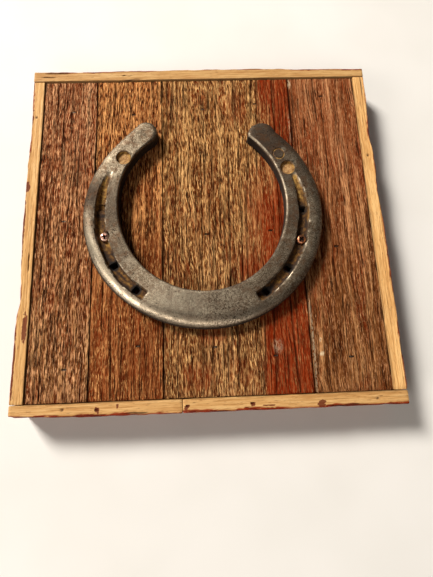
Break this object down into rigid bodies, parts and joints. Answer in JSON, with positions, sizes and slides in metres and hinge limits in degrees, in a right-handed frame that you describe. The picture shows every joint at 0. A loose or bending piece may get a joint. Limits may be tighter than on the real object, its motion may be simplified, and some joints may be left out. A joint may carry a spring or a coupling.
{
  "type": "horseshoe wall plaque",
  "caption": "Worn steel horseshoe screwed to a square plaque of weathered reclaimed boards with a thin light wood frame; hangs on a wall or lies on its back.",
  "frame": {"origin": "centre of the plaque on the plane of its back edges, midway across and midway up", "axes": "+Z out of the plaque's face, +Y towards the plaque's top (the horseshoe's open end), +X to the right seen from the front"},
  "size_m": [0.204, 0.204, 0.0275],
  "materials": {
    "horseshoe_steel": "worn and lightly pitted, dull grey with polished outer edge and brown staining",
    "copper_screw": "copper-plated, slightly tarnished",
    "board_1_wood": "weathered softwood with worn red-brown paint",
    "board_2_wood": "weathered softwood with worn red-brown paint",
    "board_3_wood": "bare rough-grained softwood with barn-red paint along one side",
    "board_4_wood": "weathered softwood with worn brown paint",
    "frame_pine": "fresh-sawn honey-coloured pine with old paint along its outer corner",
    "batten_wood": "rough sawn, unpainted",
    "brad_steel": "dark wire",
    "hanger_zinc": "zinc-plated, satin"
  },
  "bodies": {
    "root": {"horseshoe": "horseshoe_steel", "horseshoe_screw_left": "copper_screw", "horseshoe_screw_right": "copper_screw", "board_1": "board_1_wood", "board_2": "board_2_wood", "board_3": "board_3_wood", "board_4": "board_4_wood", "frame_strip_top": "frame_pine", "frame_strip_left": "frame_pine", "frame_strip_right": "frame_pine", "frame_strip_bottom_left": "frame_pine", "frame_strip_bottom_right": "frame_pine", "batten_top": "batten_wood", "batten_middle": "batten_wood", "batten_bottom": "batten_wood", "board_brad_top_1": "brad_steel", "board_brad_top_2": "brad_steel", "board_brad_top_3": "brad_steel", "board_brad_top_4": "brad_steel", "board_brad_top_5": "brad_steel", "board_brad_middle_1": "brad_steel", "board_brad_middle_2": "brad_steel", "board_brad_middle_3": "brad_steel", "board_brad_middle_4": "brad_steel", "board_brad_bottom_1": "brad_steel", "board_brad_bottom_2": "brad_steel", "board_brad_bottom_3": "brad_steel", "board_brad_bottom_4": "brad_steel", "board_brad_bottom_5": "brad_steel", "frame_brad_left_1": "brad_steel", "frame_brad_left_2": "brad_steel", "frame_brad_left_3": "brad_steel", "frame_brad_right_1": "brad_steel", "frame_brad_right_2": "brad_steel", "frame_brad_right_3": "brad_steel", "frame_brad_top_1": "brad_steel", "frame_brad_top_2": "brad_steel", "frame_brad_top_3": "brad_steel", "frame_brad_top_4": "brad_steel", "frame_brad_bottom_1": "brad_steel", "frame_brad_bottom_2": "brad_steel", "frame_brad_bottom_3": "brad_steel", "frame_brad_bottom_4": "brad_steel", "frame_front_brad_1": "brad_steel", "frame_front_brad_2": "brad_steel", "frame_front_brad_3": "brad_steel", "sawtooth_hanger": "hanger_zinc", "hanger_nail_left": "hanger_zinc", "hanger_nail_right": "hanger_zinc"}
  },
  "joints": []
}
